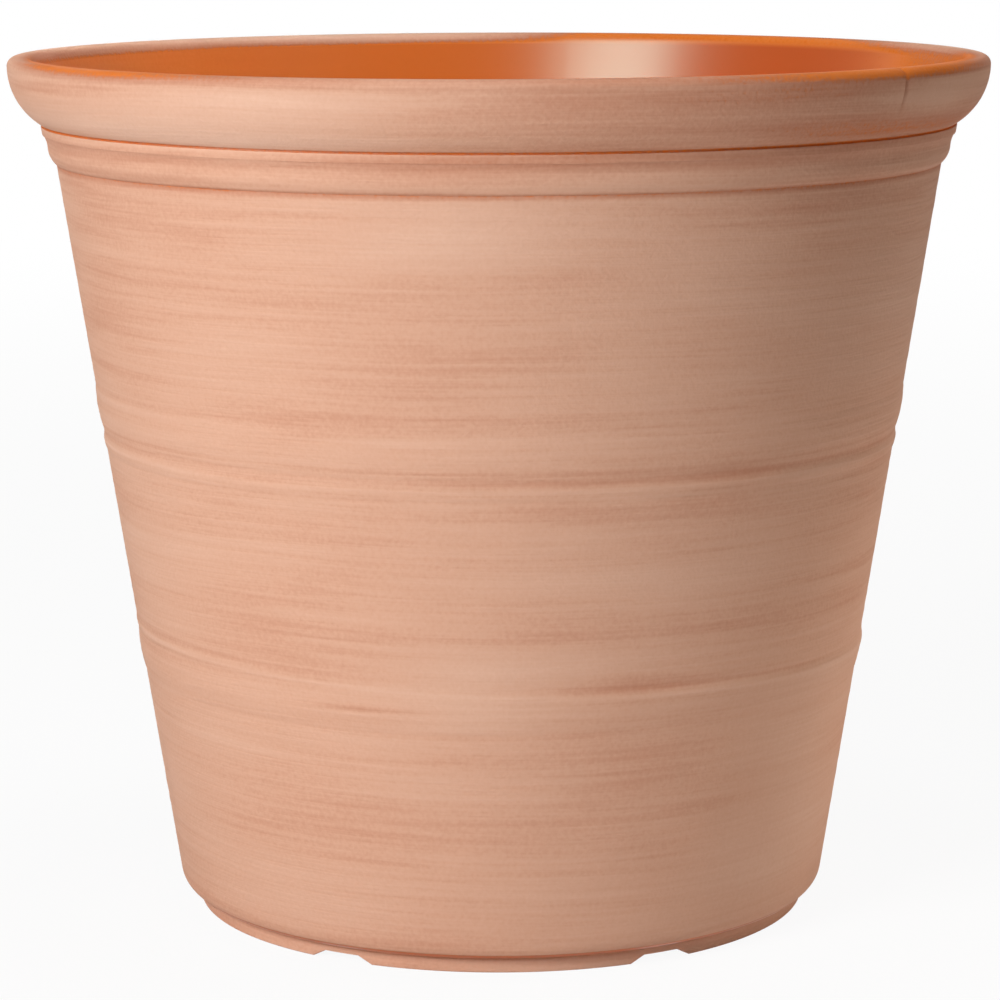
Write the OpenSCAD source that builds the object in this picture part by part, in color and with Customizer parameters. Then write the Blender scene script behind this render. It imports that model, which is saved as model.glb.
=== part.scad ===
// Round plastic planter: a tapered pot with a rolled rim, a bead band under it, two shallow
// throwing rings and a notched foot ring, and the slotted drain grate that stands inside it.
// Z is up, and the origin is the centre of the foot ring's lower face.

/* [Pot] */
// Outer diameter at the widest part of the rim
rim_d = 350; // [300:1:420]
// Height from the ground to the crest of the rim
pot_h = 308; // [260:1:380]
// Outer diameter that the wall's taper would reach at ground level
base_d = 233; // [200:1:260]
// Thickness of the wall
wall_t = 2.5; // [2:0.1:4]
// Thickness of the floor
floor_t = 3.5; // [2.5:0.1:6]
// Outer radius where the wall turns into the floor
corner_r = 7; // [5:0.5:10]

/* [Rim] */
// Height of the rim from its crest down to the groove under it
rim_h = 23.4; // [18:0.2:32]
// How far the widest part of the rim stands out past the groove
rim_overhang = 11.4; // [8:0.2:14]
// How far the groove's edge stands out past the wall's taper
rim_root = 3.1; // [2.7:0.1:5]
// Width of the crest, from its inner lip to the widest part of the rim
crest_w = 9.4; // [8.6:0.2:13]
// Radius of the rim's outer top edge
crest_r = 3; // [2:0.25:4]
// Radius of the rim's inner top edge
lip_r = 3; // [2:0.25:4]
// Depth of the groove between the rim and the bead band
groove_depth = 0.6; // [0.4:0.1:1.5]
// Height of that groove
groove_w = 0.9; // [0.6:0.1:2]

/* [Bead band] */
// Height of the fillet at the top of the band
fillet_h = 2.9; // [2:0.1:5]
// How far the fillet's face leans in from its top to its lower edge
fillet_lean = 0.5; // [0:0.1:1]
// Width of the ledge under the fillet
ledge = 0.3; // [0.2:0.05:0.6]
// Height of the hollow under the ledge
cove_h = 4.6; // [3:0.1:6]
// How far the hollow's lower edge stands in from its upper edge
cove_step = 1.5; // [0.8:0.1:2]
// Depth of the hollow, measured from the line between its edges
cove_depth = 0.3; // [0.2:0.1:0.8]
// Height of the convex bead at the bottom of the band
bead_h = 5.9; // [4:0.1:8]
// How far the bead bulges from the line between its edges
bead_bulge = 0.7; // [0.2:0.1:1.2]

/* [Throwing rings] */
// Height of the upper ring's middle
upper_ring_z = 183.5; // [160:0.5:220]
// Height of the lower ring's middle
lower_ring_z = 95; // [60:0.5:130]
// Width of a ring, up the wall
ring_w = 15; // [10:0.5:24]
// How far a ring stands out of the wall
ring_out = 0.7; // [0.3:0.05:1.2]
// Width of the fine ridge beside each ring
ridge_w = 5; // [3:0.5:8]
// How far the fine ridge stands out of the wall
ridge_out = 0.45; // [0.2:0.05:0.8]

/* [Foot ring] */
// Height of the foot ring
foot_h = 5.5; // [4:0.5:12]
// Thickness of the foot ring
foot_w = 4; // [3:0.5:8]
// How far the foot ring stands in from where the wall's corner begins
foot_inset = 0.3; // [0.2:0.1:2]
// Bevel along the foot ring's lower edges
foot_bevel = 0.5; // [0.3:0.1:1.2]
// Number of drain notches round the foot ring, and of spokes under the floor and the grate
notch_count = 6; // [4:2:8]
// Width of a notch on the ground
notch_w = 24; // [16:1:32]
// Width of a notch at its top
notch_top_w = 13.5; // [8:0.5:20]
// Height of a notch
notch_h = 2.7; // [1.5:0.1:3.4]

/* [Floor] */
// Diameter of the drain holes
drain_d = 12; // [6:0.5:16]
// Distance from the foot ring's inner side to the centres of the outer drain holes
drain_edge = 17; // [14:1:20]
// Distance between the two circles of drain holes
drain_row_step = 30; // [26:1:36]
// Diameter of the drain hole at the centre
centre_drain_d = 20; // [10:1:26]
// Thickness of the ribs under the floor
rib_t = 2.5; // [1.5:0.1:4]
// Gap between the ribs and the ground
rib_clear = 1.5; // [1:0.1:2.5]
// Inner radius of the ring that joins the ribs
hub_r = 16; // [15:0.5:24]

/* [Drain grate] */
// Height of the grate's underside above the floor
grate_stand = 18; // [12:0.5:40]
// Thickness of the grate's deck
deck_t = 2.5; // [1.5:0.1:4]
// Gap between the grate's edge and the wall
grate_gap = 2; // [1:0.1:5]
// Play between the legs and the floor
rest_gap = 0.3; // [0.2:0.05:0.6]
// Width of a slot
slot_w = 4; // [2.5:0.1:5]
// Rows of slots, from the centre outwards
slot_rows = 3; // [2:1:4]
// Slots between two spokes in the innermost row, and how many each further row adds
slots_per_spoke = 2; // [1:1:2]
// Radius of the plain middle of the deck
deck_middle_r = 16; // [16:1:24]
// Width of the plain bands between the rows
deck_band = 6; // [5:0.5:10]
// Thickness of the ribs and the skirt under the deck
grate_rib_t = 2; // [1.5:0.1:3]
// Depth of the ribs and the skirt under the deck
grate_rib_h = 5; // [3:0.5:9]
// Outer diameter of a leg
leg_d = 9; // [7:0.5:11]
// Wall of a leg
leg_wall = 1.8; // [1.2:0.1:2.4]

/* [Hidden] */
$fn = 96;
// Facets of a slot's round ends
slot_fn = 32;
// Overlap that keeps joined shapes from meeting in a bare face
lap = 0.5;
shell_colour = [0.86, 0.66, 0.54];
grate_colour = [0.16, 0.16, 0.16];

rim_r = rim_d / 2;
groove_z = pot_h - rim_h;
groove_r = rim_r - rim_overhang;
// The wall's taper runs from the base to the groove's root
wall_root_r = groove_r - rim_root;
taper = (wall_root_r - base_d / 2) / groove_z;
taper_angle = atan(taper);
inset = wall_t / cos(taper_angle);
floor_z = foot_h + floor_t;
inner_corner_r = corner_r - wall_t;

// Radius of the wall's outer and inner face at a height
function outer_r(z) = base_d / 2 + taper * z;
function inner_r(z) = outer_r(z) - inset;

corner_z = foot_h + corner_r;
corner_x = outer_r(corner_z) - corner_r / cos(taper_angle);
inner_corner_z = floor_z + inner_corner_r;
inner_corner_x = inner_r(inner_corner_z) - inner_corner_r / cos(taper_angle);

// The widest part of the rim, and the arc that falls from it to the groove
wide_z = pot_h - crest_r;
ovolo_h = wide_z - groove_z;
ovolo_r = (ovolo_h * ovolo_h + rim_overhang * rim_overhang) / (2 * rim_overhang);
ovolo_chord = norm([ovolo_h, rim_overhang]);
ovolo_bulge = ovolo_r - sqrt(ovolo_r * ovolo_r - ovolo_chord * ovolo_chord / 4);

// The inner lip, and the face that flares up to it from the wall at the groove
lip_centre = [rim_r - crest_w + lip_r, pot_h - lip_r];
flare_low = [inner_r(groove_z), groove_z];
flare_run = lip_centre - flare_low;
flare_angle = atan2(flare_run.y, flare_run.x) + asin(lip_r / norm(flare_run));
lip_tangent = lip_centre + lip_r * [-sin(flare_angle), cos(flare_angle)];

// Edges of the band's mouldings, from the groove down
fillet_top = [groove_r, groove_z - groove_w];
fillet_low = fillet_top - [fillet_lean, fillet_h];
cove_top = fillet_low - [ledge, 0];
cove_low = cove_top - [cove_step, cove_h];
bead_z = cove_low.y - bead_h;
bead_low = [outer_r(bead_z), bead_z];

foot_r = corner_x - foot_inset;
foot_inner_r = foot_r - foot_w;
drain_outer_r = foot_inner_r - drain_edge;
drain_inner_r = drain_outer_r - drain_row_step;
rib_h = foot_h - rib_clear;
spoke_angle = 360 / notch_count;
slot_step = slots_per_spoke * notch_count;

grate_z = floor_z + grate_stand;
grate_r = inner_r(grate_z - grate_rib_h) - grate_gap;
skirt_in = grate_r - grate_rib_t;
slot_len = (skirt_in - deck_band / 2 - deck_middle_r - (slot_rows - 1) * deck_band) / slot_rows;

// Closed outline of the wall and floor, turned over the corner's arc
module cup_outline(corner_x, corner_z, r, low, top_r, top_z) {
    tangent = [corner_x + r * cos(taper_angle), corner_z - r * sin(taper_angle)];
    polygon([[0, low], [corner_x, low], tangent, [top_r, top_z], [0, top_z]]);
    translate([corner_x, corner_z])
        circle(r);
}

// Segment between the line from a to b and an arc that bulges from it, to the right as seen from a.
// Where an end lies on the wall, the arc runs on past it into the wall
module arc_segment(a, b, bulge, past_a = 0, past_b = 0) {
    chord = norm(b - a);
    along = (b - a) / chord;
    out = [along.y, -along.x];
    r = (chord * chord / 4 + bulge * bulge) / (2 * bulge);
    start = a - along * past_a;
    end = b + along * past_b;
    back = out * 2 * lap;
    front = out * 2 * bulge;
    intersection() {
        translate((a + b) / 2 + out * (bulge - r))
            circle(r);
        polygon([start - back, end - back, end + front, start + front]);
    }
}

// Rounded bulge of the given width on the wall's outer face
module wall_bulge(z, width, out) {
    low = z - width / 2;
    high = z + width / 2;
    arc_segment([outer_r(low), low], [outer_r(high), high], out, lap, lap);
}

module throwing_ring(z) {
    wall_bulge(z, ring_w, ring_out);
}

// The fine ridge that one stroke leaves next to a ring
module ridge(z) {
    wall_bulge(z, ridge_w, ridge_out);
}

// Rim in section: the quarter that falls to the groove, the crest, the lip and the flared inside
module rim_outline() {
    polygon([
        flare_low,
        lip_tangent,
        [lip_centre.x, pot_h],
        [rim_r - crest_r, pot_h],
        [rim_r, wide_z],
        [groove_r, groove_z]
    ]);
    translate(lip_centre)
        circle(lip_r);
    translate([rim_r - crest_r, wide_z])
        circle(crest_r);
    arc_segment([groove_r, groove_z], [rim_r, wide_z], ovolo_bulge);
}

// Bead band in section: fillet, ledge, hollow and bead
module band_outline() {
    root = [inset / 2, 0];
    difference() {
        polygon([
            bead_low - root,
            cove_low,
            cove_top,
            fillet_low,
            fillet_top,
            [groove_r, groove_z],
            [outer_r(groove_z), groove_z] - root
        ]);
        arc_segment(cove_top, cove_low, cove_depth);
    }
    arc_segment(bead_low, cove_low, bead_bulge, past_a = lap);
}

// Groove that parts the rim from the band, sharp at its bottom
module groove_outline() {
    polygon([
        [groove_r - groove_depth, groove_z - groove_w / 2],
        [groove_r, groove_z],
        [groove_r + lap, groove_z],
        [groove_r + lap, groove_z - groove_w],
        fillet_top
    ]);
}

module foot_outline() {
    polygon([
        [foot_inner_r, foot_bevel],
        [foot_inner_r + foot_bevel, 0],
        [foot_r - foot_bevel, 0],
        [foot_r, foot_bevel],
        [foot_r, foot_h + lap],
        [foot_inner_r, foot_h + lap]
    ]);
}

module pot_section() {
    difference() {
        union() {
            cup_outline(corner_x, corner_z, corner_r, foot_h, outer_r(groove_z), groove_z);
            throwing_ring(upper_ring_z);
            ridge(upper_ring_z - ring_w / 2 - ridge_w);
            throwing_ring(lower_ring_z);
            ridge(lower_ring_z + ring_w / 2 - ridge_w / 4);
            band_outline();
        }
        cup_outline(inner_corner_x, inner_corner_z, inner_corner_r, floor_z,
            inner_r(groove_z + lap), groove_z + lap);
        groove_outline();
    }
    rim_outline();
    foot_outline();
}

// Trapezoid drain notch through the foot ring, along +X
module notch() {
    rotate([90, 0, 90])
        translate([0, 0, foot_inner_r - lap])
            linear_extrude(foot_w + 2 * lap)
                polygon([
                    [-notch_w / 2 - lap, -lap],
                    [notch_w / 2 + lap, -lap],
                    [notch_w / 2, 0],
                    [notch_top_w / 2, notch_h],
                    [-notch_top_w / 2, notch_h],
                    [-notch_w / 2, 0]
                ]);
}

// Ribs under the floor, which run from the hub ring to the foot ring between the notches
module floor_ribs() {
    for (k = [0 : notch_count - 1])
        rotate((k + 0.5) * spoke_angle)
            translate([hub_r + rib_t / 2, -rib_t / 2, foot_h - rib_h])
                cube([foot_r - foot_w / 2 - hub_r - rib_t / 2, rib_t, rib_h + lap]);
    translate([0, 0, foot_h - rib_h])
        difference() {
            cylinder(h = rib_h + lap, r = hub_r + rib_t);
            translate([0, 0, -lap])
                cylinder(h = rib_h + 3 * lap, r = hub_r);
        }
}

module drain_holes() {
    for (k = [0 : notch_count - 1])
        rotate(k * spoke_angle)
            for (r = [drain_inner_r, drain_outer_r])
                translate([r, 0, foot_h - lap])
                    cylinder(h = floor_t + 2 * lap, d = drain_d);
    translate([0, 0, foot_h - rib_h - lap])
        cylinder(h = rib_h + floor_t + 2 * lap, d = centre_drain_d);
}

module pot() {
    color(shell_colour)
        difference() {
            union() {
                rotate_extrude()
                    pot_section();
                floor_ribs();
            }
            for (k = [0 : notch_count - 1])
                rotate(k * spoke_angle)
                    notch();
            drain_holes();
        }
}

// Slot with round ends, along +X from its inner end
module slot(length) {
    translate([slot_w / 2, -slot_w / 2])
        square([length - slot_w, slot_w]);
    for (x = [slot_w / 2, length - slot_w / 2])
        translate([x, 0])
            circle(d = slot_w, $fn = slot_fn);
}

// Radius of the plain band outside a row of slots
function band_r(row) = deck_middle_r + (row + 1) * (slot_len + deck_band) - deck_band / 2;

module deck() {
    translate([0, 0, grate_z])
        linear_extrude(deck_t)
            difference() {
                circle(grate_r);
                for (row = [0 : slot_rows - 1]) {
                    count = slot_step * (row + 1);
                    for (k = [0 : count - 1])
                        rotate((k + 0.5) * 360 / count)
                            translate([deck_middle_r + row * (slot_len + deck_band), 0])
                                slot(slot_len);
                }
            }
}

// Ring of rib under the deck, centred on a radius
module rib_ring(r) {
    translate([0, 0, grate_z - grate_rib_h])
        difference() {
            cylinder(h = grate_rib_h + lap, r = r + grate_rib_t / 2);
            translate([0, 0, -lap])
                cylinder(h = grate_rib_h + 3 * lap, r = r - grate_rib_t / 2);
        }
}

// Upright round bar under the deck: a leg, or the bore that leaves it open below
module leg_bar(d, past_foot = 0) {
    foot = floor_z + rest_gap;
    translate([0, 0, foot - past_foot])
        cylinder(h = grate_z + lap - foot, d = d);
}

// One spoke of the grate: its rib under the deck and its legs, along +X
module spoke(leg_rows) {
    translate([0, -grate_rib_t / 2, grate_z - grate_rib_h])
        cube([grate_r - grate_rib_t / 2, grate_rib_t, grate_rib_h + lap]);
    for (r = leg_rows)
        translate([r, 0, 0])
            leg_bar(leg_d);
}

// The spokes lie between the drain holes, so that no leg stands on a hole
module drain_grate() {
    leg_rows = [for (row = [0 : slot_rows - 2]) band_r(row)];
    color(grate_colour)
        rotate(spoke_angle / 2)
            difference() {
                union() {
                    deck();
                    rib_ring(grate_r - grate_rib_t / 2);
                    for (r = leg_rows)
                        rib_ring(r);
                    for (k = [0 : notch_count - 1])
                        rotate(k * spoke_angle)
                            spoke(leg_rows);
                }
                for (k = [0 : notch_count - 1])
                    rotate(k * spoke_angle)
                        for (r = leg_rows)
                            translate([r, 0, 0])
                                leg_bar(leg_d - 2 * leg_wall, lap);
            }
}

pot();
drain_grate();
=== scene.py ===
import math

import bmesh
import bpy
from mathutils import Matrix, Vector, noise


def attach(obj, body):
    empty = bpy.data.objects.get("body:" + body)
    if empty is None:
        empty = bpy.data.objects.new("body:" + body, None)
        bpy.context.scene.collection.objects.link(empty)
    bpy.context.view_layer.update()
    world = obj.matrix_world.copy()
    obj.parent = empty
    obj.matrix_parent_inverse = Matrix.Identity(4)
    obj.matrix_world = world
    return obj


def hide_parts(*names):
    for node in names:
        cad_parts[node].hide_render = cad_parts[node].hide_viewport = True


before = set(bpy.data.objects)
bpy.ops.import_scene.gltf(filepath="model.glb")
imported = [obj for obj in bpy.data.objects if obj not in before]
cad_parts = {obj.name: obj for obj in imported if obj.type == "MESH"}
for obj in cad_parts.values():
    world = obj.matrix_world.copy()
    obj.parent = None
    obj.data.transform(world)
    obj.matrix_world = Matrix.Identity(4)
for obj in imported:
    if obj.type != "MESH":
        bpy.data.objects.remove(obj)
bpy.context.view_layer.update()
print("frame loaded with nodes", sorted(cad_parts))

mm = 0.001  # the moulding is made in millimetres, and the studio in metres
near = 0.01  # places closer than this, in millimetres, count as one
joined = 0.002  # and the finished vertices closer than this are merged
sharpAngle = 34  # an edge between faces that meet at more than these degrees stays sharp

# the moulding: the sizes of the frame's pot, with soft edges and two mould seams added
potShape = {
    "height": 308.0,
    "rimRadius": 175.0,
    "baseRadius": 116.5,
    "wall": 2.5,
    "floor": 3.5,
    "cornerRadius": 7.0,
    "rimHeight": 23.4,
    "rimOverhang": 11.4,
    "rimRoot": 3.1,
    "crestWidth": 9.4,
    "crestRadius": 3.0,
    "lipRadius": 3.0,
    "grooveDepth": 0.6,
    "grooveHeight": 0.9,
    "filletHeight": 2.9,
    "filletLean": 0.5,
    "ledge": 0.3,
    "coveHeight": 4.6,
    "coveStep": 1.5,
    "coveDepth": 0.3,
    "beadHeight": 5.9,
    "beadBulge": 0.7,
    "footHeight": 5.5,
    "footWidth": 4.0,
    "footInset": 0.3,
    "footBevel": 0.5,
    "notches": 6,
    "notchWidth": 24.0,
    "notchTopWidth": 13.5,
    "notchHeight": 2.7,
    "notchMargin": 1.0,
    "drainRadius": 6.0,
    "drainEdge": 17.0,
    "drainRowStep": 30.0,
    "centreDrainRadius": 10.0,
    "drainBevel": 0.4,
    "ribDepth": 4.0,
    "hubRadius": 16.0,
    "ribThickness": 2.5,
    "ribSink": 0.5,
    "floorFillRadius": 100.0,
    "edgeRound": 0.2,
    "seamAzimuths": (50.2, -129.8),
    "seamHalfWidth": 1.4,
    "seamDepth": 0.85,
    "seamLength": 14.0,
}

# where the wash is thicker or thinner, and where a thicker or thinner wash is painted light or
# painted shade:
# azimuth in degrees from the front to the right, half width in degrees, height, half height and
# how much share of the wash is added
washAndLightPatches = {
    "outside": [
        (-24, 16, 301, 6, 0.4),
        # painted light: a paler wash on the underside of the rim's curve at the left
        (-62, 42, 291, 6, 0.5),
        (22, 26, 300, 9, -0.35),
        # a thinner wash on the rim's lower curve at the right, partly painted shade
        (52, 34, 288.5, 5, -0.52),
        (38, 20, 303, 5, -0.25),
        (62, 14, 300, 6, 0.25),
        (-8, 24, 255, 10, 0.3),
        (-62, 18, 250, 25, -0.2),
        (24, 12, 247, 9, 0.2),
        (-25, 14, 190, 8, -0.12),
        (52, 16, 245, 22, -0.17),
        (62, 22, 215, 45, 0.17),
        # a thinner wash in the cove all round, partly painted shade
        (0, 400, 279, 2.2, -0.15),
        # painted shade: a thinner wash on the fillet under the rim's overhang
        (-2, 48, 282, 3, -0.36),
        # painted light on the rim's lower curve at the left, which faces down
        (-32, 26, 286.5, 2.5, 0.35),
        (-13, 9, 188.3, 1.1, 0.22),
        (4, 20, 196.5, 1.3, -0.15),
        (33, 9, 172, 9, -0.2),
        (22, 14, 104.5, 3.5, -0.25),
        (0, 20, 110, 8, 0.35),
        (-8, 20, 70, 9, 0.15),
        (-3, 14, 95, 7, 0.14),
        (50, 20, 30, 14, 0.3),
        (-22, 10, 95.4, 0.9, -0.3),
        (56, 16, 62, 26, 0.4),
        (57, 11, 297, 4, 0.25),
        (-36, 36, 28, 12, 0.25),
        (-118, 40, 296, 9, -0.3),
        (150, 34, 250, 14, -0.3),
    ],
    "crest": [
        (-55, 26, 307.8, 2.1, -0.8),
        (46, 30, 307, 3.0, -0.8),
        # a thicker wash on the back crest, partly painted light from above
        (-150, 50, 307.3, 3, 1.2),
        (154, 24, 307.3, 3, -1.1),
        (104, 17, 307.5, 3, 0.5),
    ],
    "inside": [
        (-124, 40, 300, 30, 0.11),
        (-98, 18, 300, 30, 0.1),
        # painted shade: the deeper colour on the inside's right
        (140, 24, 300, 30, -0.16),
        (104, 14, 300, 20, 0.3),
    ],
}

# the share of the wash elsewhere than on the open wall, how many millimetres from the line of
# the bead or the foot it takes for the share to grow by 1, and how far the wash goes under the
# foot's edge
washShares = {
    "inside": -0.04,
    "atLip": 0.5,
    "atCrestEdge": 0.9,
    "crestLeast": 0.15,
    "groove": 0.3,
    "seamLoss": 0.3,
    "atBead": 0.45,
    "beadReach": 1.6,
    "atFoot": 0.72,
    "footReach": 2.2,
    "footEdge": 0.2,
}

# what the turning marks do to the wall: height, half width, how far out, how far the line
# wanders and leans to the right, the share of the wash it adds, how much it fades on the way
# round, and the seed of its noise
markParts = ("z", "half", "out", "wander", "lean", "wash", "fade", "seed")
throwingMarks = [
    dict(zip(markParts, values))
    for values in (
        (183.5, 7.5, 0.7, 0.5, 0, 0.08, 0.0, 1),
        (189.6, 1.6, 0.14, 0.6, 0, 0.15, 0.8, 4),
        (178.3, 0.9, -0.06, 0.3, 0, -0.15, 0.6, 7),
        (175.3, 1.1, -0.14, 0.3, 0, -0.15, 0.4, 3),
        (171.0, 2.6, 0.5, 0.3, 0, 0.05, 0.3, 2),
        (171.8, 1.0, 0.08, 0.3, 0, 0.22, 0.3, 2),
        (169.4, 0.8, 0.05, 0.3, 0, 0.12, 0.8, 8),
        (95.0, 7.5, 0.7, 0.4, 0, 0.08, 0.0, 5),
        (101.0, 2.4, 0.3, 0.3, -4, 0.05, 0.2, 5),
        (101.4, 1.0, 0.08, 0.3, -4, 0.18, 0.3, 5),
        (104.7, 1.1, -0.14, 0.3, -4, -0.14, 0.5, 5),
    )
]

# how fast a mark's line wanders and its strength changes round the pot, and the middle and the
# swing of that strength
markNoise = {
    "wanderSpeed": 1.3,
    "fadeSpeed": 1.0,
    "fadeSeed": 20,
    "fadeMiddle": 0.5,
    "fadeSwing": 0.9,
}

# the wall's rows from the bead down: how low each stretch goes and how far apart its rows
# stand, closest where the turning marks are
wallRows = ((199, 2.2), (165, 0.6), (110, 2.2), (84, 0.6), (16, 2.2))

# the wall's fine waviness: where it ends, over how many millimetres it starts and, for each
# layer, how far out it goes, how fast it changes round the pot and up it, and its seed
wallWaves = {
    "low": 18,
    "high": 268,
    "ease": 8,
    "layers": ((0.1, 1.1, 0.045, 0), (0.05, 2.4, 0.21, 60)),
}


def vertsOf(parts):
    return [part for part in parts if isinstance(part, bmesh.types.BMVert)]


class Outline:
    # a line drawn in the XZ plane, one stroke after another
    def __init__(self, r, z):
        self.mesh = bmesh.new()
        self.tip = self.mesh.verts.new((r, 0, z))
        self.corners = []

    def line(self, r, z, cuts=0):
        start, end = self.tip.co.copy(), Vector((r, 0, z))
        for step in range(1, cuts + 2):
            made = bmesh.ops.extrude_vert_indiv(self.mesh, verts=[self.tip])
            self.tip = made["verts"][0]
            self.tip.co = start.lerp(end, step / (cuts + 1))

    def corner(self, r, z, cuts=0):
        self.line(r, z, cuts)
        self.corners.append(self.tip)

    # a positive bulge lies on the right of the way from the tip to the new point
    def arc(self, r, z, bulge, steps):
        start, end = self.tip.co.copy(), Vector((r, 0, z))
        chord = (end - start).length
        along = (end - start) / chord
        side = math.copysign(1, bulge) * Vector((along.z, 0, -along.x))
        radius = (chord**2 / 4 + bulge**2) / (2 * abs(bulge))
        made = bmesh.ops.spin(
            self.mesh,
            geom=[self.tip],
            cent=(start + end) / 2 - side * (radius - abs(bulge)),
            axis=(0, 1, 0),
            angle=-math.copysign(2 * math.asin(chord / 2 / radius), bulge),
            steps=steps,
            use_merge=False,
        )
        self.tip = vertsOf(made["geom_last"])[0]

    # an arc of a known radius, which turns by less than half a circle
    def turn(self, r, z, radius, steps):
        half = (self.tip.co - Vector((r, 0, z))).length / 2
        rise = abs(radius) - math.sqrt(radius**2 - half**2)
        self.arc(r, z, math.copysign(rise, radius), steps)


def grooveTop(shape):
    return shape["height"] - shape["rimHeight"]


def grooveRadius(shape):
    return shape["rimRadius"] - shape["rimOverhang"]


# the angle by which the wall leans outwards
def wallLean(shape):
    run = grooveRadius(shape) - shape["rimRoot"] - shape["baseRadius"]
    return math.atan(run / grooveTop(shape))


def outerRadius(shape, z):
    return shape["baseRadius"] + math.tan(wallLean(shape)) * z


def innerRadius(shape, z):
    return outerRadius(shape, z) - shape["wall"] / math.cos(wallLean(shape))


def lipX(shape):
    return shape["rimRadius"] - shape["crestWidth"] + shape["lipRadius"]


# whether a place on the wall or the rim is nearer to the inside than to the outside
def isInside(place, shape):
    r, z = place.xy.length, place.z
    grooveZ = grooveTop(shape)
    if z < grooveZ:
        return r < outerRadius(shape, z) - shape["wall"] / 2 and z > shape["footHeight"]
    start = innerRadius(shape, grooveZ)
    flare = (lipX(shape) - start) / (shape["height"] - grooveZ)
    return r < start + (z - grooveZ) * flare + shape["wall"] / 2


def drawPotOutline(shape):
    grooveZ, grooveR = grooveTop(shape), grooveRadius(shape)
    floorZ = shape["footHeight"] + shape["floor"]
    cosLean, sinLean = math.cos(wallLean(shape)), math.sin(wallLean(shape))

    # the middle of an arc that touches both the level at "low" and the wall
    def cornerCentre(radius, low, wallAt):
        z = low + radius
        return wallAt(shape, z) - radius / cosLean, z

    inside = shape["cornerRadius"] - shape["wall"]
    pen = Outline(shape["floorFillRadius"], floorZ)
    x, z = cornerCentre(inside, floorZ, innerRadius)
    pen.line(x, floorZ, cuts=2)
    pen.turn(x + inside * cosLean, z - inside * sinLean, inside, steps=6)

    # the inside flares from the groove's height to the lip
    pen.corner(innerRadius(shape, grooveZ), grooveZ, cuts=20)
    lipR = shape["lipRadius"]
    lip = Vector((lipX(shape), 0, shape["height"] - lipR))
    run = lip - pen.tip.co
    flare = math.atan2(run.z, run.x) + math.asin(lipR / run.length)
    pen.line(lip.x - lipR * math.sin(flare), lip.z + lipR * math.cos(flare), cuts=8)
    pen.turn(lip.x, shape["height"], -lipR, steps=8)
    crestX = shape["rimRadius"] - shape["crestRadius"]
    pen.line(crestX, shape["height"], cuts=3)
    wideZ = shape["height"] - shape["crestRadius"]
    pen.turn(shape["rimRadius"], wideZ, -shape["crestRadius"], steps=8)

    # the quarter that falls to the groove
    drop = wideZ - grooveZ
    quarter = (drop**2 + shape["rimOverhang"] ** 2) / (2 * shape["rimOverhang"])
    pen.turn(grooveR, grooveZ, -quarter, steps=20)
    pen.corners.append(pen.tip)
    pen.line(grooveR - shape["grooveDepth"], grooveZ - shape["grooveHeight"] / 2, cuts=1)
    pen.corner(grooveR, grooveZ - shape["grooveHeight"], cuts=1)
    z = grooveZ - shape["grooveHeight"] - shape["filletHeight"]
    x = grooveR - shape["filletLean"]
    pen.corner(x, z, cuts=3)
    x -= shape["ledge"]
    pen.line(x, z)
    x, z = x - shape["coveStep"], z - shape["coveHeight"]
    pen.arc(x, z, shape["coveDepth"], steps=9)
    pen.corners.append(pen.tip)
    z -= shape["beadHeight"]
    pen.arc(outerRadius(shape, z), z, -shape["beadBulge"], steps=10)
    for stop, spacing in wallRows:
        pen.line(outerRadius(shape, stop), stop, cuts=round((z - stop) / spacing) - 1)
        z = stop

    radius = shape["cornerRadius"]
    cornerX, cornerZ = cornerCentre(radius, shape["footHeight"], outerRadius)
    pen.line(cornerX + radius * cosLean, cornerZ - radius * sinLean, cuts=1)
    pen.turn(cornerX, shape["footHeight"], -radius, steps=10)
    footR = cornerX - shape["footInset"]
    footInner = footR - shape["footWidth"]
    bevel = shape["footBevel"]
    pen.line(footR, shape["footHeight"])
    pen.line(footR, bevel, cuts=2)
    pen.turn(footR - bevel, 0, -bevel, steps=3)
    pen.line(footInner + bevel, 0, cuts=1)
    pen.turn(footInner, bevel, -bevel, steps=3)
    pen.line(footInner, shape["footHeight"], cuts=1)
    pen.line(shape["floorFillRadius"], shape["footHeight"], cuts=1)
    bmesh.ops.bevel(
        pen.mesh,
        geom=pen.corners,
        offset=shape["edgeRound"],
        offset_type="OFFSET",
        affect="VERTICES",
        segments=2,
        profile=0.5,
        material=-1,
    )
    return pen.mesh, footR, footInner


# half the angle that a notch takes at its top and at its foot
def notchAngles(shape, footR):
    widths = (shape["notchTopWidth"], shape["notchWidth"])
    return [math.asin(width / 2 / footR) for width in widths]


# round the axis in short turns, so that a row of vertices stands at each side of a notch
# and at each mould seam
def revolve(mesh, shape, footR):
    top, low = notchAngles(shape, footR)
    sector = math.tau / shape["notches"]
    seam = math.radians(shape["seamAzimuths"][0] - 90) % sector
    thin = shape["seamHalfWidth"] / shape["rimRadius"]

    # each turn's angle and the steps it is made in
    turns = [
        (top, 2),
        (low - top, 2),
        (seam - thin - low, 12),
        (thin, 1),
        (thin, 1),
        (sector - low - seam - thin, 19),
        (low - top, 2),
        (top, 2),
    ]
    made = mesh.verts[:] + mesh.edges[:]
    for angle, steps in turns * shape["notches"]:
        made = bmesh.ops.spin(
            mesh,
            geom=made,
            cent=(0, 0, 0),
            axis=(0, 0, 1),
            angle=angle,
            steps=steps,
            use_merge=False,
        )["geom_last"]
    bmesh.ops.remove_doubles(mesh, verts=mesh.verts, dist=near)


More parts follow.
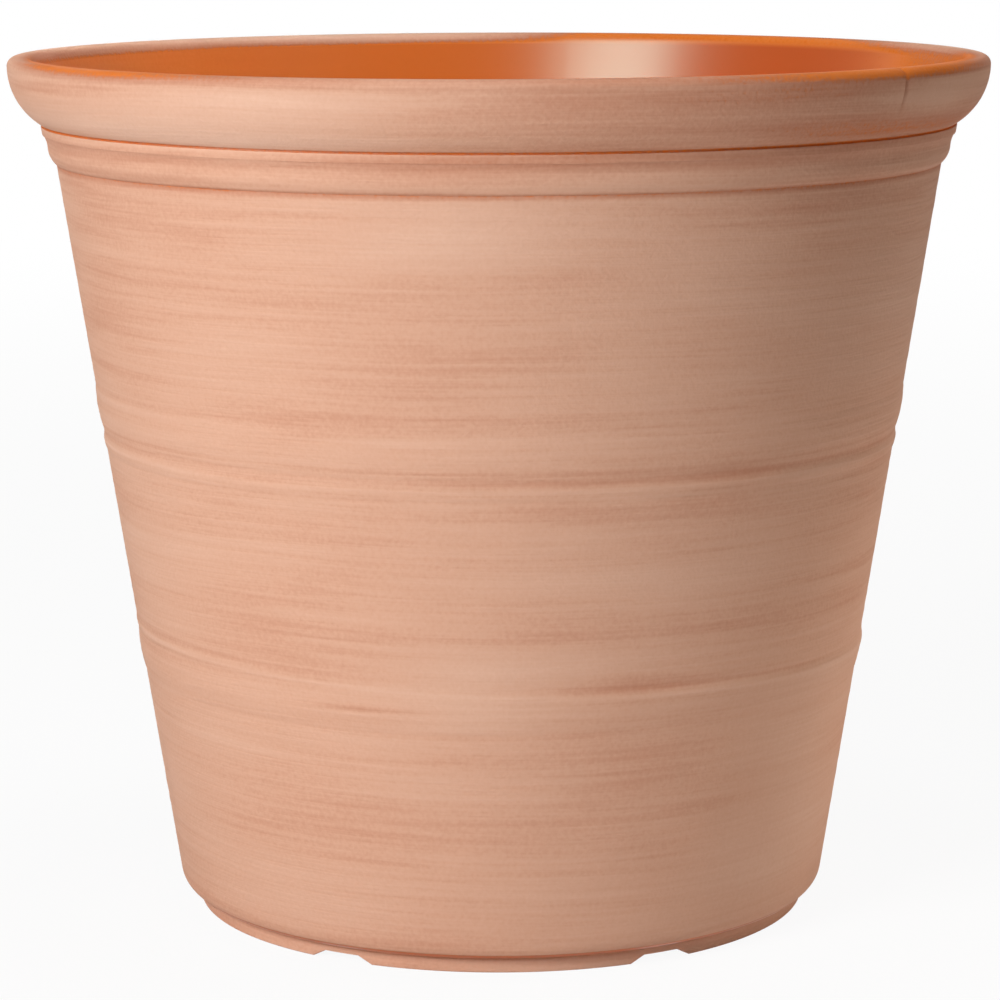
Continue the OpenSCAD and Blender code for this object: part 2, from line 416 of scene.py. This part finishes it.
# the foot ring rises over each notch
def cutNotches(mesh, shape, footR, footInner):
    top, low = notchAngles(shape, footR)
    sector = math.tau / shape["notches"]
    start = footInner - shape["notchMargin"]
    for vert in mesh.verts:
        if vert.co.z < shape["footHeight"] and vert.co.xy.length > start:
            turned = math.atan2(vert.co.y, vert.co.x) % sector
            away = min(turned, sector - turned)
            share = min(1, max(0, (low - away) / (low - top)))
            lift = share * shape["notchHeight"]
            vert.co.z = lift + vert.co.z * (1 - lift / shape["footHeight"])


def boundaryAt(mesh, z):
    return [
        edge
        for edge in mesh.edges
        if edge.is_boundary and all(abs(vert.co.z - z) < near for vert in edge.verts)
    ]


def ringOf(mesh, r, z, place, segments=32):
    made = bmesh.ops.create_circle(
        mesh,
        cap_ends=False,
        radius=r,
        segments=segments,
        matrix=Matrix.Translation((place[0], place[1], z)),
    )
    return list({edge for vert in made["verts"] for edge in vert.link_edges})


# edges drawn out by a shift, and grown or shrunk about a place in plan
def pulled(mesh, edges, shift, about=None, grow=1.0):
    made = bmesh.ops.extrude_edge_only(mesh, edges=edges)["geom"]
    verts = vertsOf(made)
    bmesh.ops.translate(mesh, verts=verts, vec=shift)
    if about:
        bmesh.ops.scale(
            mesh,
            verts=verts,
            vec=(grow, grow, 1),
            space=Matrix.Translation((-about[0], -about[1], 0)),
        )
    return [part for part in made if isinstance(part, bmesh.types.BMEdge)]


# ribs under the floor, sunk into it: a hub ring with an arm pulled out of it at each spoke
def makeRibs(mesh, shape, footInner):
    low = shape["footHeight"] - shape["ribDepth"]
    outer = shape["hubRadius"] + shape["ribThickness"]
    spokes = shape["notches"]
    segments = spokes * round(math.tau * outer / shape["ribThickness"] / spokes)
    inner = ringOf(mesh, shape["hubRadius"], low, (0, 0), segments)
    rim = ringOf(mesh, outer, low, (0, 0), segments)
    halfStep = Matrix.Rotation(math.pi / segments, 3, "Z")
    verts = list({vert for edge in inner + rim for vert in edge.verts})
    bmesh.ops.rotate(mesh, verts=verts, cent=(0, 0, 0), matrix=halfStep)
    faces = bmesh.ops.bridge_loops(mesh, edges=inner + rim)["faces"]
    sector = math.tau / spokes
    for edge in rim:
        middle = (edge.verts[0].co + edge.verts[1].co) / 2
        spoke = (math.atan2(middle.y, middle.x) - sector / 2) / sector
        if abs(spoke - round(spoke)) * sector < 0.5 * math.tau / segments:
            reach = footInner + shape["ribSink"] - middle.xy.length
            made = bmesh.ops.extrude_edge_only(mesh, edges=[edge])["geom"]
            shift = Vector((middle.x, middle.y, 0)).normalized() * reach
            bmesh.ops.translate(mesh, verts=vertsOf(made), vec=shift)
            faces += [part for part in made if isinstance(part, bmesh.types.BMFace)]
    made = bmesh.ops.extrude_face_region(mesh, geom=faces)["geom"]
    rise = shape["ribDepth"] + shape["ribSink"]
    bmesh.ops.translate(mesh, verts=vertsOf(made), vec=(0, 0, rise))


# the ribs, the drain holes and the floor's two faces, filled between the holes and the shell
def makeFloor(mesh, shape, footInner):
    low = shape["footHeight"]
    high = low + shape["floor"]
    makeRibs(mesh, shape, footInner)
    holes = [((0, 0), shape["centreDrainRadius"])]
    outerRow = footInner - shape["drainEdge"]
    for turn in range(shape["notches"]):
        angle = turn * math.tau / shape["notches"]
        for r in (outerRow, outerRow - shape["drainRowStep"]):
            holes.append(((r * math.cos(angle), r * math.sin(angle)), shape["drainRadius"]))
    bevel = shape["drainBevel"]
    for place, r in holes:
        edges = ringOf(mesh, r + bevel, high, place)
        edges = pulled(mesh, edges, (0, 0, -bevel), place, r / (r + bevel))
        pulled(mesh, edges, (0, 0, low - high + bevel))
    for z, up in ((high, 1), (low, -1)):
        edges = boundaryAt(mesh, z)
        bmesh.ops.triangle_fill(mesh, edges=edges, use_beauty=True, normal=(0, 0, up))


# smooth noise round the pot, which changes more often at a higher speed
def wobble(angle, speed, seed):
    apart = 7.3
    place = Vector((math.cos(angle) * speed, math.sin(angle) * speed, seed * apart))
    return noise.noise(place)


# what the turning marks add up to at one place: "out" is their relief, "wash" their share
def markSum(angle, z, what):
    total = 0
    for mark in throwingMarks:
        wander = wobble(angle, markNoise["wanderSpeed"], mark["seed"])
        middle = mark["z"] + mark["wander"] * wander + mark["lean"] * math.cos(angle)
        u = (z - middle) / mark["half"]
        if abs(u) < 1:
            swing = wobble(angle, markNoise["fadeSpeed"], mark["seed"] + markNoise["fadeSeed"])
            faded = markNoise["fadeMiddle"] + markNoise["fadeSwing"] * swing
            total += mark[what] * (1 - mark["fade"] * faded) * (1 - u * u)
    return total


def azimuthOf(place):
    return math.degrees(math.atan2(place.x, -place.y))


# a share of the wash with what the patches on one side of the pot add to it; some patches are
# painted light or painted shade
def patched(share, side, place):
    for azimuth, half, z, high, change in washAndLightPatches[side]:
        away = ((azimuthOf(place) - azimuth + 180) % 360 - 180) / half
        share += change * math.exp(-(away**2) - ((place.z - z) / high) ** 2)
    return share


# 1 on the upper half of a mould seam, falling to 0 at its lower end
def seamShare(place, shape):
    thin = math.degrees(shape["seamHalfWidth"] / shape["rimRadius"])
    if min(abs(azimuthOf(place) - azimuth) for azimuth in shape["seamAzimuths"]) > thin / 2:
        return 0
    below = shape["height"] - shape["crestRadius"] - place.z
    return min(1, max(0, 2 - 2 * below / shape["seamLength"]))


# the turning marks, the mould seam and the fine waviness of the outside
def shapeOutside(mesh, shape):
    wideZ = shape["height"] - shape["crestRadius"]
    low, high, ease = (wallWaves[part] for part in ("low", "high", "ease"))
    for vert in mesh.verts:
        r, z = vert.co.xy.length, vert.co.z
        if isInside(vert.co, shape):
            continue
        angle = math.atan2(vert.co.y, vert.co.x)
        out = 0
        if low < z < high:
            ends = min(1, (z - low) / ease, (high - z) / ease)
            for reach, speed, climb, seed in wallWaves["layers"]:
                out += wobble(angle, speed, z * climb + seed) * reach * ends
            out += markSum(angle, z, "out")
        seam = shape["seamDepth"] * seamShare(vert.co, shape) if z > grooveTop(shape) else 0
        if z > wideZ:
            vert.co.z -= seam
        else:
            out -= seam
        if out:
            vert.co.x *= 1 + out / r
            vert.co.y *= 1 + out / r


# the share of the wash at each place: 0 is bare plastic, 1 is covered and more is thicker;
# below 0 the plastic is deeper in colour, which on the inside's right is painted shade. Some
# patches add painted light or painted shade to the share
def washAndPaintedLightShare(place, shape):
    r, z = place.xy.length, place.z
    crestLow, grooveZ = shape["height"] - shape["crestRadius"], grooveTop(shape)
    if z > crestLow - near:
        lip = lipX(shape)
        onCrest = (r - lip) / (shape["rimRadius"] - shape["crestRadius"] - lip)
        gain = (washShares["atCrestEdge"] - washShares["atLip"]) * onCrest
        share = min(washShares["atCrestEdge"], washShares["atLip"] + gain)
        return max(washShares["crestLeast"], patched(share, "crest", place))
    if isInside(place, shape):
        return patched(washShares["inside"], "inside", place)
    share = patched(1, "outside", place)
    if z > grooveZ:
        return share - washShares["seamLoss"] * seamShare(place, shape)
    share += markSum(math.atan2(place.y, place.x), z, "wash")
    if grooveZ - shape["grooveHeight"] < z < grooveZ:
        share = washShares["groove"]
    beadZ = grooveZ - shape["grooveHeight"] - shape["filletHeight"]
    beadZ -= shape["coveHeight"] + shape["beadHeight"]
    share = min(share, washShares["atBead"] + abs(z - beadZ) / washShares["beadReach"])
    footZ = shape["footHeight"]
    if z < footZ + shape["cornerRadius"]:
        share = min(share, washShares["atFoot"] + abs(z - footZ) / washShares["footReach"])
    return share


def finishMesh(mesh, name):
    bmesh.ops.remove_doubles(mesh, verts=mesh.verts, dist=joined)
    bmesh.ops.recalc_face_normals(mesh, faces=mesh.faces)
    for face in mesh.faces:
        face.smooth = True
    for edge in mesh.edges:
        edge.smooth = edge.calc_face_angle(0) < math.radians(sharpAngle)
    data = bpy.data.meshes.new(name)
    mesh.to_mesh(data)
    piece = bpy.data.objects.new(name, data)
    bpy.context.scene.collection.objects.link(piece)
    return piece


def makePot(shape):
    mesh, footR, footInner = drawPotOutline(shape)
    revolve(mesh, shape, footR)
    cutNotches(mesh, shape, footR, footInner)
    makeFloor(mesh, shape, footInner)

    # the underside is bare from just inside the foot's edge
    wash = mesh.verts.layers.float.new("wash")
    washedFrom = footR - washShares["footEdge"]
    for vert in mesh.verts:
        vert[wash] = washAndPaintedLightShare(vert.co, shape)
        if vert.co.z < shape["footHeight"] and vert.co.xy.length < washedFrom:
            vert[wash] = 0
    shapeOutside(mesh, shape)
    bmesh.ops.remove_doubles(mesh, verts=mesh.verts, dist=joined)
    openEdges = sum(not edge.is_manifold for edge in mesh.edges)
    print("pot shell:", len(mesh.verts), "vertices,", openEdges, "open edges")
    piece = finishMesh(mesh, "potShell")
    piece.data.transform(Matrix.Scale(mm, 4))
    return piece


class Signal:
    # a socket's value, with the sums that the finishes need
    def __init__(self, finish, socket):
        self.finish = finish
        self.socket = socket

    def maths(self, operation, first, second):
        sockets = {0: first, 1: second}
        return self.finish.add("ShaderNodeMath", {"operation": operation}, sockets)

    def __add__(self, other):
        return self.maths("ADD", self, other)

    __radd__ = __add__

    def __sub__(self, other):
        return self.maths("SUBTRACT", self, other)

    def __rsub__(self, other):
        return self.maths("SUBTRACT", other, self)

    def __mul__(self, other):
        return self.maths("MULTIPLY", self, other)

    __rmul__ = __mul__

    # 0 below the low value and 1 above the high one, with a smooth step
    def between(self, low, high):
        sockets = {0: self, 1: low, 2: high, 3: 0.0, 4: 1.0}
        settings = {"interpolation_type": "SMOOTHSTEP"}
        return self.finish.add("ShaderNodeMapRange", settings, sockets)


class Finish:
    # one material, made node by node
    def __init__(self, name):
        self.material = bpy.data.materials.new(name)
        self.material.use_nodes = True
        self.tree = self.material.node_tree
        self.tree.nodes.clear()
        self.output = self.tree.nodes.new("ShaderNodeOutputMaterial")
        self.place = self.add("ShaderNodeTexCoord", out="Object")

    def add(self, kind, settings=None, sockets=None, out=0):
        made = self.tree.nodes.new(kind)
        for name, value in (settings or {}).items():
            if name == "stops":
                self.setStops(made.color_ramp, value)
            else:
                setattr(made, name, value)
        for name, value in (sockets or {}).items():
            if isinstance(value, Signal):
                self.tree.links.new(value.socket, made.inputs[name])
            else:
                made.inputs[name].default_value = value
        return Signal(self, made.outputs[out])

    def setStops(self, ramp, stops):
        while len(ramp.elements) < len(stops):
            ramp.elements.new(1)
        for element, (position, colour) in zip(ramp.elements, stops):
            element.position = position
            element.color = colour

    # the same place, stretched: a larger number packs the pattern closer along that axis
    def stretched(self, x, y, z, shift=None):
        place = self.place
        if shift:
            place = self.add("ShaderNodeVectorMath", {"operation": "ADD"}, {0: place, 1: shift})
        sockets = {0: place, 1: (x, y, z)}
        return self.add("ShaderNodeVectorMath", {"operation": "MULTIPLY"}, sockets)

    def grain(self, place, scale, detail, roughness=0.5):
        sockets = {"Vector": place, "Scale": scale, "Detail": detail, "Roughness": roughness}
        return self.add("ShaderNodeTexNoise", None, sockets)

    def mix(self, share, first, second):
        sockets = {0: share, 6: first, 7: second}
        return self.add("ShaderNodeMix", {"data_type": "RGBA"}, sockets, out=2)

    def bump(self, height, strength, distance, **more):
        sockets = {"Height": height, "Strength": strength, "Distance": distance, **more}
        return self.add("ShaderNodeBump", None, sockets)

    def finish(self, **sockets):
        named = {name.replace("_", " "): value for name, value in sockets.items()}
        shader = self.add("ShaderNodeBsdfPrincipled", None, named)
        self.tree.links.new(shader.socket, self.output.inputs["Surface"])
        return self.material


def colour(red, green, blue):
    # an 8-bit colour as it looks on screen, as the shader's linear one
    def linear(value):
        value /= 255
        return value / 12.92 if value <= 0.04045 else ((value + 0.055) / 1.055) ** 2.4

    return (linear(red), linear(green), linear(blue), 1)


# thin whitewash brushed round a pot of terracotta-orange plastic. "covered", "tornFrom",
# "mattFrom" and "freshUnshadedFrom" are shares of the wash: from there up the plastic is covered,
# whole, matt and neither of the deeper colour nor of its painted shade. Each layer says how
# closely it packs along each axis, its detail and its roughness; "thickness", "tear" and "relief"
# say how much of each layer goes into the wash's colour, its ragged edge and its bump
washLook = {
    "bare": colour(222, 120, 40),
    # the plastic's deeper tone, which also serves as painted shade on the inside's right
    "bareDeepAndShaded": colour(181, 76, 4),
    "washPale": colour(230, 190, 167),
    "washMid": colour(216, 167, 141),
    "washThin": colour(184, 116, 86),
    "roughWash": 0.66,
    "roughBare": 0.3,
    "roughGrain": 0.12,
    "gloss": 0.05,
    "insideGloss": 0.5,
    "covered": 0.6,
    "tornFrom": 0.3,
    "mattFrom": 0.2,
    "freshUnshadedFrom": 0.2,
    "shareWeight": 0.7,
    "strokeSlope": 0.007,
    "slopeLayer": ((5, 5, 10), 1),
    "layers": {
        "broad": ((7, 7, 24), 2, 0.55),
        "band": ((5, 5, 110), 2, 0.5),
        "stroke": ((10, 10, 420), 2, 0.5),
        "hair": ((30, 30, 1100), 1, 0.5),
    },
    "speckScale": 750,
    "thickness": {"broad": 0.38, "band": 0.15, "stroke": 0.21, "hair": 0.12, "speck": 0.14},
    "tear": {"broad": 0.5, "stroke": 0.4, "speck": 0.5},
    "relief": {"stroke": 0.3, "hair": 0.4, "speck": 0.35},
    "bumpStrength": 0.6,
    "bumpDistance": 0.0006,
}


def makeWashedPlastic(look):
    made = Finish("washedTerracottaPlastic")
    # strokes run round the pot, and each layer slopes and wanders a little
    closeness, detail = look["slopeLayer"]
    slow = made.grain(made.stretched(*closeness), 1, detail)
    slope = (slow - 0.5) * look["strokeSlope"]
    lift = made.add("ShaderNodeCombineXYZ", None, {2: slope})
    speck = made.grain(made.place, look["speckScale"], detail=1)
    grains = {"speck": speck}
    for name, (closeness, detail, roughness) in look["layers"].items():
        grains[name] = made.grain(made.stretched(*closeness, lift), 1, detail, roughness)

    def blend(weights):
        total = 0
        for name, weight in weights.items():
            total = total + grains[name] * weight
        return total

    # the wash tears where it is thin, and the plastic inside has none
    # the share read here also holds painted light and painted shade from some patches
    coatAndPaintedLight = made.add("ShaderNodeAttribute", {"attribute_name": "wash"}, out="Fac")
    ragged = blend(look["tear"]) - sum(look["tear"].values()) / 2
    torn = coatAndPaintedLight + ragged * coatAndPaintedLight.between(0.0, look["tornFrom"])
    cover = torn.between(0.0, look["covered"])
    matt = coatAndPaintedLight.between(0.0, look["mattFrom"])
    # below a share of 0 the plastic takes the deeper colour, which on the inside's right is
    # painted shade
    freshUnshaded = torn.between(-look["freshUnshadedFrom"], look["freshUnshadedFrom"])

    thickness = blend(look["thickness"]).between(0.0, 1.0) + (coatAndPaintedLight - 1) * look["shareWeight"]
    stops = [(0, look["washThin"]), (0.5, look["washMid"]), (1, look["washPale"])]
    wash = made.add("ShaderNodeValToRGB", {"stops": stops}, {0: thickness})
    base = made.mix(cover, made.mix(freshUnshaded, look["bareDeepAndShaded"], look["bare"]), wash)

    rough = look["roughBare"] + matt * (look["roughWash"] - look["roughBare"])
    height = cover * blend(look["relief"])
    return made.finish(
        Base_Color=base,
        Roughness=rough + (speck - 0.5) * look["roughGrain"],
        Normal=made.bump(height, look["bumpStrength"], look["bumpDistance"]),
        Specular_IOR_Level=look["gloss"],
        Coat_Weight=(1 - matt) * look["insideGloss"],
        Coat_Roughness=look["roughBare"],
    )


grateLook = {
    "base": colour(46, 45, 44),
    "worn": colour(66, 64, 61),
    "wornFrom": 0.4,
    "wornTo": 0.75,
    "cloudScale": 38,
    "speckScale": 1600,
    "rough": 0.5,
    "roughCloud": 0.2,
    "gloss": 0.25,
    "edgeRound": 0.0004,
    "bumpStrength": 0.25,
    "bumpDistance": 0.0002,
}


def makeGratePlastic(look):
    made = Finish("grateSatinPlastic")
    cloud = made.grain(made.place, look["cloudScale"], detail=3)
    speck = made.grain(made.place, look["speckScale"], detail=2)
    base = made.mix(cloud.between(look["wornFrom"], look["wornTo"]), look["base"], look["worn"])
    edges = made.add("ShaderNodeBevel", {"samples": 4}, {"Radius": look["edgeRound"]})
    return made.finish(
        Base_Color=base,
        Roughness=look["rough"] + (cloud - 0.5) * look["roughCloud"],
        Normal=made.bump(speck, look["bumpStrength"], look["bumpDistance"], Normal=edges),
        Specular_IOR_Level=look["gloss"],
    )


def dress(piece, material):
    piece.data.materials.clear()
    piece.data.materials.append(material)


# the photograph's view: a long lens, a little above the rim
cameraSet = {
    "place": (0.0, -1.31935, 0.37143),
    "tilt": 9.72,
    "roll": -0.16,
    "focalPixels": 3657.43,
    "imagePixels": 1000,
    "sensor": 36.0,
    "farClip": 100.0,
}


def makeCamera(settings):
    data = bpy.data.cameras.new("photoCamera")
    data.sensor_width = settings["sensor"]
    data.lens = settings["focalPixels"] / settings["imagePixels"] * settings["sensor"]
    data.clip_end = settings["farClip"]
    camera = bpy.data.objects.new("photoCamera", data)
    bpy.context.scene.collection.objects.link(camera)
    tilt = Matrix.Rotation(math.radians(90 - settings["tilt"]), 4, "X")
    roll = Matrix.Rotation(math.radians(settings["roll"]), 4, "Z")
    camera.matrix_world = Matrix.Translation(settings["place"]) @ tilt @ roll
    bpy.context.scene.camera = camera


# "floorWhite" is how white the floor looks near the object; it grows to 1 between the two
# distances of "whitens", and inside "shadedRadius" the floor keeps its own shade, since it
# shows there through the drain holes. A "diffuse" lamp only lights, a "gloss" one is only mirrored
studio = {
    "floorSize": 60.0,
    "floorColour": colour(236, 236, 236),
    "floorWhite": 0.93,
    "whitens": (0.3, 2.5),
    "shadedRadius": 0.09,
    "shadeEdge": 0.008,
    "ambient": 0.02,
    "lampParts": (
        "azimuth",
        "height",
        "distance",
        "size",
        "spread",
        "power",
        "tint",
        "aim",
        "litBy",
    ),
    "lamps": {
        "keyBox": (-38, 25, 2.2, 0.85, 180, 40, (1, 1, 1), (0, 0, 0.16), "diffuse"),
        "glintBox": (-36.3, 31, 2.2, 1.0, 180, 104, (0.64, 1, 0.87), (0, 0, 0.16), "gloss"),
        "sideBox": (100, 18, 2.2, 0.8, 180, 5.5, (1, 0.87, 0.74), (0, 0, 0.16), "diffuse"),
        "highBox": (90, 65, 2.2, 1.1, 180, 6.4, (1, 0.92, 0.84), (0, 0, 0.16), "diffuse"),
        "skyBox": (0, 88, 1.3, 0.4, 180, 5.5, (1, 1, 1), (0, 0, 0.3), "diffuse"),
        "mouthBox": (70, 50, 1.3, 0.12, 12, 0.035, (1, 1, 1), (-0.13, 0.06, 0.3), "diffuse"),
        "lowCard": (80, 6, 0.42, 0.08, 70, 0.034, (1, 0.9, 0.8), (0, 0, 0.05), "diffuse"),
    },
}


def aimedLamp(name, settings):
    data = bpy.data.lights.new(name, "AREA")
    data.shape = "SQUARE"
    data.size = settings["size"]
    data.spread = math.radians(settings["spread"])
    data.energy = settings["power"]
    data.color = settings["tint"]
    lamp = bpy.data.objects.new(name, data)
    lamp.visible_camera = False
    lamp.visible_diffuse = settings["litBy"] == "diffuse"
    lamp.visible_glossy = settings["litBy"] == "gloss"
    bpy.context.scene.collection.objects.link(lamp)
    azimuth, height = math.radians(settings["azimuth"]), math.radians(settings["height"])
    away = Vector((
        math.sin(azimuth) * math.cos(height),
        -math.cos(azimuth) * math.cos(height),
        math.sin(height),
    ))
    lamp.location = Vector(settings["aim"]) + away * settings["distance"]
    lamp.rotation_euler = away.to_track_quat("Z", "Y").to_euler()


# 1 for what the camera sees, straight or in a mirror image, and 0 for what only lights
def seenByEye(tree):
    path = tree.nodes.new("ShaderNodeLightPath")
    seen = path.outputs["Is Camera Ray"]
    for name in ("Is Glossy Ray", "Is Transmission Ray"):
        most = tree.nodes.new("ShaderNodeMath")
        most.operation = "MAXIMUM"
        tree.links.new(seen, most.inputs[0])
        tree.links.new(path.outputs[name], most.inputs[1])
        seen = most.outputs[0]
    return seen


def makeStudio(settings):
    world = bpy.data.worlds.new("studioWorld")
    bpy.context.scene.world = world
    world.use_nodes = True
    tree = world.node_tree
    tree.nodes.clear()
    soft = tree.nodes.new("ShaderNodeBackground")
    soft.inputs["Strength"].default_value = settings["ambient"]
    white = tree.nodes.new("ShaderNodeBackground")
    chosen = tree.nodes.new("ShaderNodeMixShader")
    tree.links.new(seenByEye(tree), chosen.inputs[0])
    for slot, shader in ((1, soft), (2, white)):
        tree.links.new(shader.outputs[0], chosen.inputs[slot])
        shader.inputs["Color"].default_value = (1, 1, 1, 1)
    output = tree.nodes.new("ShaderNodeOutputWorld")
    tree.links.new(chosen.outputs[0], output.inputs["Surface"])

    mesh = bmesh.new()
    bmesh.ops.create_grid(mesh, x_segments=1, y_segments=1, size=settings["floorSize"] / 2)
    floor = finishMesh(mesh, "studioFloor")
    made = Finish("paleFloor")
    plain = made.add("ShaderNodeBsdfDiffuse", None, {"Color": settings["floorColour"]})
    bright = made.add("ShaderNodeEmission", None, {"Color": (1, 1, 1, 1), "Strength": 1.0})
    length = {"operation": "LENGTH"}
    reach = made.add("ShaderNodeVectorMath", length, {0: made.place}, out="Value")
    whiteness = reach.between(*settings["whitens"]) * (1 - settings["floorWhite"])
    edge, half = settings["shadedRadius"], settings["shadeEdge"]
    seen = Signal(made, seenByEye(made.tree)) * reach.between(edge - half, edge + half)
    share = seen * (whiteness + settings["floorWhite"])
    surface = made.add("ShaderNodeMixShader", None, {0: share, 1: plain, 2: bright})
    made.tree.links.new(surface.socket, made.output.inputs["Surface"])
    dress(floor, made.material)
    for name, values in settings["lamps"].items():
        aimedLamp(name, dict(zip(settings["lampParts"], values)))


shell = makePot(potShape)
dress(shell, makeWashedPlastic(washLook))
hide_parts("pot")
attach(shell, "pot")

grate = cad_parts["drain_grate"]
dress(grate, makeGratePlastic(grateLook))
print("pieces made and dressed")

makeCamera(cameraSet)
makeStudio(studio)
bpy.context.scene.view_settings.view_transform = "Standard"
print("camera, floor and lamps set")
